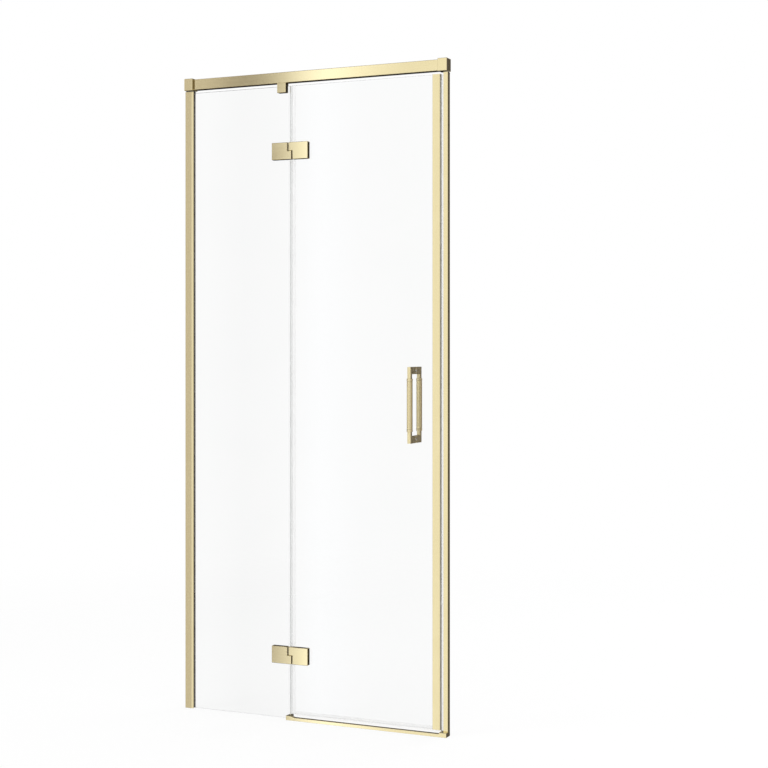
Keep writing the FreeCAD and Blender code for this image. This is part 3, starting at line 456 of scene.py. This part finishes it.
eased_widths = {
    "wall_profile_left": 0.0004,
    "wall_profile_right": 0.0004,
    "door_edge_profile": 0.0003,
    "threshold": 0.0003,
    "threshold_end_left": 0.0004,
    "threshold_end_right": 0.0004,
}
for node_name, width in eased_widths.items():
    eased_copy(node_name + "_eased", node_name, width)
eased_copy("handle_collars_eased", "handle_collars", 0.0006, shortest=0.0)


# Knurled grips

KNURL_AROUND = 34
KNURL_DEPTH = 0.00022
KNURL_HEIGHT = 0.00125
GRIP_BORE = 0.0031


def knurled_grip(piece_name, node_name):
    """Grip with a diamond knurl cut all round, and a bore for its rod."""
    low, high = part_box(node_name)
    radius = (high.x - low.x) / 2
    length = high.z - low.z
    rows = round(length / KNURL_HEIGHT)
    work = bmesh.new()
    crest = work.verts.layers.float.new("crest")
    bmesh.ops.create_circle(work, radius=radius - KNURL_DEPTH, segments=KNURL_AROUND)
    ring = list(work.edges)
    half_turn = Matrix.Rotation(math.pi / KNURL_AROUND, 3, "Z")
    for row in range(rows):
        grown = bmesh.ops.extrude_edge_only(work, edges=ring)["geom"]
        risen = [part for part in grown if isinstance(part, bmesh.types.BMVert)]
        bmesh.ops.translate(work, vec=(0, 0, length / rows), verts=risen)
        bmesh.ops.rotate(work, cent=(0, 0, 0), matrix=half_turn, verts=risen)
        above = set(risen)
        ring = [part for part in grown if isinstance(part, bmesh.types.BMEdge)]
        ring = [edge for edge in ring if edge.verts[0] in above and edge.verts[1] in above]
    bmesh.ops.triangulate(work, faces=list(work.faces), quad_method="SHORT_EDGE")
    level = [
        edge for edge in work.edges
        if edge.is_manifold and abs(edge.verts[0].co.z - edge.verts[1].co.z) < MERGE
    ]
    bmesh.ops.dissolve_edges(work, edges=level, use_verts=False)
    diamonds = [face for face in work.faces if len(face.verts) == 4]
    for vert in bmesh.ops.poke(work, faces=diamonds, offset=KNURL_DEPTH)["verts"]:
        vert[crest] = 1.0
    rims = [edge for edge in work.edges if edge.is_boundary]
    ends = bmesh.ops.holes_fill(work, edges=rims, sides=0)["faces"]
    bores = []
    for end in ends:
        bmesh.ops.inset_region(work, faces=[end], thickness=radius - KNURL_DEPTH - GRIP_BORE)
        bores += list(end.edges)
    bmesh.ops.delete(work, geom=ends, context="FACES_ONLY")
    bmesh.ops.bridge_loops(work, edges=bores)
    bmesh.ops.recalc_face_normals(work, faces=work.faces)
    centre = Vector(((low.x + high.x) / 2, (low.y + high.y) / 2, low.z))
    bmesh.ops.translate(work, vec=centre, verts=work.verts)
    return stand_in(piece_name, work, [node_name], gold_grip)


knurled_grip("handle_grip_front_knurled", "handle_grip_front")
knurled_grip("handle_grip_rear_knurled", "handle_grip_rear")


# Screw heads with hexagon sockets

TURN_STEPS = 24
SOCKET_EDGE = 0.0002
DISC_SCREW_HEAD = 0.0026
SHANK_SHARE = 2.5 / 4.6
RIM_SHARE = 0.66
SOCKET_SHARE = 0.48
SOCKET_DEPTH_SHARE = 0.4


def islands(node_name):
    """Boxes of the separate solids of one node."""
    work = merged_copy(node_name)
    waiting = set(work.verts)
    boxes = []
    while waiting:
        reached = [waiting.pop()]
        for vert in reached:
            for edge in vert.link_edges:
                other = edge.other_vert(vert)
                if other in waiting:
                    waiting.remove(other)
                    reached.append(other)
        places = [vert.co for vert in reached]
        low = Vector([min(place[axis] for place in places) for axis in range(3)])
        high = Vector([max(place[axis] for place in places) for axis in range(3)])
        boxes.append((low, high))
    work.free()
    return boxes


def socket_screw(work, outline, socket, depth, placing):
    """Adds a turned screw with a hexagon socket in its head. The outline runs from its tip to its rim."""
    screw = bmesh.new()
    corners = [screw.verts.new((radius, 0, height)) for radius, height in outline]
    lines = [screw.edges.new(pair) for pair in zip(corners, corners[1:])]
    bmesh.ops.spin(
        screw, geom=corners + lines, cent=(0, 0, 0), axis=(0, 0, 1), dvec=(0, 0, 0),
        angle=math.tau, steps=TURN_STEPS, use_merge=True,
    )
    bmesh.ops.remove_doubles(screw, verts=screw.verts, dist=MERGE)
    rim = [edge for edge in screw.edges if edge.is_boundary]
    grown = bmesh.ops.extrude_edge_only(screw, edges=rim)["geom"]
    mouth = [part for part in grown if isinstance(part, bmesh.types.BMVert)]
    for vert in mouth:
        turn = math.atan2(vert.co.y, vert.co.x) % math.radians(60) - math.radians(30)
        reach = socket / math.cos(turn)
        vert.co.xy = vert.co.xy.normalized() * reach
    edges = [part for part in grown if isinstance(part, bmesh.types.BMEdge) and part.is_boundary]
    sunk = bmesh.ops.extrude_edge_only(screw, edges=edges)["geom"]
    bottom = [part for part in sunk if isinstance(part, bmesh.types.BMVert)]
    bmesh.ops.translate(screw, vec=(0, 0, -depth), verts=bottom)
    last = [edge for edge in screw.edges if edge.is_boundary]
    bmesh.ops.holes_fill(screw, edges=last, sides=0)
    bmesh.ops.recalc_face_normals(screw, faces=screw.faces)
    bmesh.ops.transform(screw, matrix=placing, verts=screw.verts)
    made = bpy.data.meshes.new("screw_in_work")
    screw.to_mesh(made)
    screw.free()
    work.from_mesh(made)
    bpy.data.meshes.remove(made)


def screws_of(piece_name, node_name, direction, head_height):
    """All screws of one node, with their heads towards a direction along one axis."""
    axis = [abs(part) for part in direction].index(1)
    work = bmesh.new()
    for low, high in islands(node_name):
        size = high - low
        centre = (low + high) / 2
        length = size[axis]
        head = size[(axis + 1) % 3] / 2
        thread = head * SHANK_SHARE if head_height else head
        edge = SOCKET_EDGE
        outline = [(0, -length), (thread - edge, -length), (thread, -length + edge)]
        if head_height:
            outline.append((thread, -head_height))
        outline += [(head, -edge), (head - edge, 0), (head * RIM_SHARE, 0)]
        top = centre + Vector(direction) * length / 2
        placing = Matrix.Translation(top) @ Vector(direction).to_track_quat("Z", "X").to_matrix().to_4x4()
        depth = min(length * SOCKET_DEPTH_SHARE, head)
        socket_screw(work, outline, head * SOCKET_SHARE, depth, placing)
    return stand_in(piece_name, work, [node_name], steel)


screws_of("fixed_leaf_screws_socketed", "fixed_leaf_screws", (0, 1, 0), DISC_SCREW_HEAD)
screws_of("door_leaf_screws_socketed", "door_leaf_screws", (0, 1, 0), DISC_SCREW_HEAD)
screws_of("rail_screws_socketed", "rail_screws", (0, 1, 0), 0)
screws_of("clamp_grub_socketed", "clamp_grub", (0, 1, 0), 0)
screws_of("handle_grubs_socketed", "handle_grubs", (0, 0, -1), 0)


# Camera, light and stage

YAW = math.radians(24.358)
camera = bpy.data.objects.new("camera", bpy.data.cameras.new("camera"))
bpy.context.scene.collection.objects.link(camera)
camera.location = (2.15424, -4.22806, 1.15429)
camera.rotation_euler = (math.pi / 2, 0, YAW)
camera.data.sensor_width = 36
camera.data.lens = 72.405
camera.data.shift_y = -39 / 768
camera.data.clip_end = 100
bpy.context.scene.camera = camera

# Brightness of the studio as the metal mirrors it, by azimuth in degrees: 0 is in front, 90 to the right.
STUDIO_ROUND = (
    (-171, 0.95), (-163, 0.03), (-144, 0.03), (-136, 0.52), (-62, 0.54), (-54, 1.20), (-47, 1.45),
    (-40, 1.40), (-35.5, 0.58), (-31.7, 0.54), (-31.1, 0.92), (-30.5, 1.02), (-29.8, 0.06), (-28.3, 0.06),
    (-27.9, 1.30), (-27.5, 1.98), (-25.8, 1.78), (-25.2, 1.00), (-24.4, 0.92), (-22.8, 1.02), (-18, 1.08),
    (0, 1.04), (23, 0.92), (60, 0.66), (83, 0.46), (120, 0.48), (134, 0.40), (141, 0.03), (154, 0.03),
    (156.5, 0.11), (165, 0.08), (171, 0.95),
)
STUDIO_BRIGHTEST = 2.0
STUDIO_ABOVE = 0.30
STUDIO_BELOW = 0.62
STUDIO_BELOW_LEFT = 0.03
# Degrees above the horizon over which the walls give way to what is above and below them.
RISE_TO_ABOVE = (26.0, 50.0)
RISE_TO_BELOW = (-31.0, -50.0)
# Middle of the dark ground on the left, and of a dark card to the right of the camera, each with the inner and
# the outer half of its width, in degrees.
DARK_GROUND_ROUND = (-95.0, 50.0, 65.0)
DARK_CARD_ROUND = (31.5, 4.0, 7.0)
DARK_CARD_RISE = (11.5, 5.0, 8.0)
DARK_CARD = 0.20
STUDIO_SOFT = 0.72
STUDIO_DIM_TONE = (1, 0.92, 0.95, 1)
STUDIO_BRIGHT_TONE = (1, 1.05, 1.16, 1)


def studio_world():
    """White room: plain for the camera and through the glass, with soft panels in the metal."""
    world = bpy.data.worlds.new("studio")
    bpy.context.scene.world = world
    world.use_nodes = True
    world.cycles.sampling_method = "NONE"
    tree = world.node_tree
    tree.nodes.clear()
    way = add_node(tree, "ShaderNodeSeparateXYZ", inputs={
        "Vector": tree.nodes.new("ShaderNodeTexCoord").outputs["Generated"],
    })
    turn = maths(tree, "ARCTAN2", way.outputs["X"], maths(tree, "MULTIPLY", way.outputs["Y"], -1.0))
    azimuth = maths(tree, "MULTIPLY", turn, 180 / math.pi)
    rise = maths(tree, "MULTIPLY", maths(tree, "ARCSINE", way.outputs["Z"]), 180 / math.pi)
    ramp = add_node(tree, "ShaderNodeValToRGB", inputs={"Fac": ranged(tree, azimuth, -180, 180)})
    stops = ramp.color_ramp.elements
    while len(stops) < len(STUDIO_ROUND):
        stops.new(0.5)
    for stop, (angle, level) in zip(stops, STUDIO_ROUND):
        stop.position = (angle + 180) / 360
        grey = level / STUDIO_BRIGHTEST
        stop.color = (grey, grey, grey, 1)
    round_level = maths(tree, "MULTIPLY", ramp.outputs["Color"], STUDIO_BRIGHTEST)
    mirrored = mixed_value(tree, ranged(tree, rise, *RISE_TO_ABOVE, smooth=True), round_level, STUDIO_ABOVE)
    below = mixed_value(tree, near(tree, azimuth, *DARK_GROUND_ROUND), STUDIO_BELOW, STUDIO_BELOW_LEFT)
    mirrored = mixed_value(tree, ranged(tree, rise, *RISE_TO_BELOW, smooth=True), mirrored, below)
    card = maths(tree, "MULTIPLY", near(tree, azimuth, *DARK_CARD_ROUND), near(tree, rise, *DARK_CARD_RISE))
    mirrored = mixed_value(tree, card, mirrored, DARK_CARD)
    path = add_node(tree, "ShaderNodeLightPath")
    by_metal = maths(tree, "GREATER_THAN", path.outputs["Glossy Depth"], 0.5)
    by_matt = maths(tree, "GREATER_THAN", path.outputs["Diffuse Depth"], 0.5)
    warm = maths(tree, "MULTIPLY", by_metal, ranged(tree, mirrored, 0.4, 1.0, 1.0, 0.0))
    cool = maths(tree, "MULTIPLY", by_metal, ranged(tree, mirrored, 1.05, 1.5))
    tone = mixed_colour(tree, cool, mixed_colour(tree, warm, (1, 1, 1, 1), STUDIO_DIM_TONE), STUDIO_BRIGHT_TONE)
    level = mixed_value(tree, by_metal, 1.0, mirrored)
    level = mixed_value(tree, by_matt, level, STUDIO_SOFT)
    room = add_node(tree, "ShaderNodeBackground", inputs={"Color": tone, "Strength": level})
    output = tree.nodes.new("ShaderNodeOutputWorld")
    tree.links.new(room.outputs[0], output.inputs["Surface"])


def soft_lamp(name, place, aim, size, power):
    """Large soft lamp that lights the object but isn't mirrored as a hard patch."""
    lamp = bpy.data.objects.new(name, bpy.data.lights.new(name, "AREA"))
    lamp.data.shape = "DISK"
    lamp.data.size = size
    lamp.data.energy = power
    lamp.location = place
    lamp.rotation_euler = (Vector(aim) - Vector(place)).to_track_quat("-Z", "Y").to_euler()
    lamp.visible_glossy = False
    lamp.visible_transmission = False
    lamp.visible_camera = False
    bpy.context.scene.collection.objects.link(lamp)


FLOOR_RADIUS = 4.2
FLOOR_DROP = 0.0005
FLOOR_FADE = (1.6, 3.9)
FLOOR_WHITE = 0.86


def pale_floor():
    """Pale floor that fades out into the white room and keeps the object's faint shadow."""
    work = bmesh.new()
    bmesh.ops.create_circle(work, cap_ends=True, radius=FLOOR_RADIUS, segments=96)
    mesh = bpy.data.meshes.new("floor")
    work.to_mesh(mesh)
    work.free()
    floor = bpy.data.objects.new("floor", mesh)
    floor.location = (0, 0, -FLOOR_DROP)
    bpy.context.scene.collection.objects.link(floor)
    material, tree, output, place = new_material("pale_floor")
    way = add_node(tree, "ShaderNodeVectorMath", operation="LENGTH")
    tree.links.new(place, way.inputs[0])
    edge = ranged(tree, way.outputs["Value"], *FLOOR_FADE, smooth=True)
    path = add_node(tree, "ShaderNodeLightPath")
    clear = maths(tree, "MAXIMUM", edge, maths(tree, "GREATER_THAN", path.outputs["Glossy Depth"], 0.5))
    matt = add_node(tree, "ShaderNodeBsdfDiffuse", inputs={"Color": (0.9, 0.9, 0.9, 1)})
    bright = add_node(tree, "ShaderNodeEmission", inputs={"Color": (1, 1, 1, 1), "Strength": 1.0})
    seen = maths(tree, "MAXIMUM", path.outputs["Is Camera Ray"], path.outputs["Is Transmission Ray"])
    pale = add_node(tree, "ShaderNodeMixShader", inputs={"Fac": maths(tree, "MULTIPLY", seen, FLOOR_WHITE)})
    tree.links.new(matt.outputs[0], pale.inputs[1])
    tree.links.new(bright.outputs[0], pale.inputs[2])
    whole = add_node(tree, "ShaderNodeMixShader", inputs={"Fac": clear})
    tree.links.new(pale.outputs[0], whole.inputs[1])
    tree.links.new(tree.nodes.new("ShaderNodeBsdfTransparent").outputs[0], whole.inputs[2])
    tree.links.new(whole.outputs[0], output.inputs["Surface"])
    mesh.materials.append(material)


studio_world()
soft_lamp("lamp_front", (-2.6, -3.6, 3.6), (0, 0, 0.9), 2.2, 60)
soft_lamp("lamp_top", (1.4, -0.4, 4.4), (0, 0, 0.8), 2.6, 50)
soft_lamp("lamp_back", (1.8, 3.4, 3.0), (0, 0, 1.0), 2.2, 40)
pale_floor()

bpy.context.scene.view_settings.view_transform = "Standard"
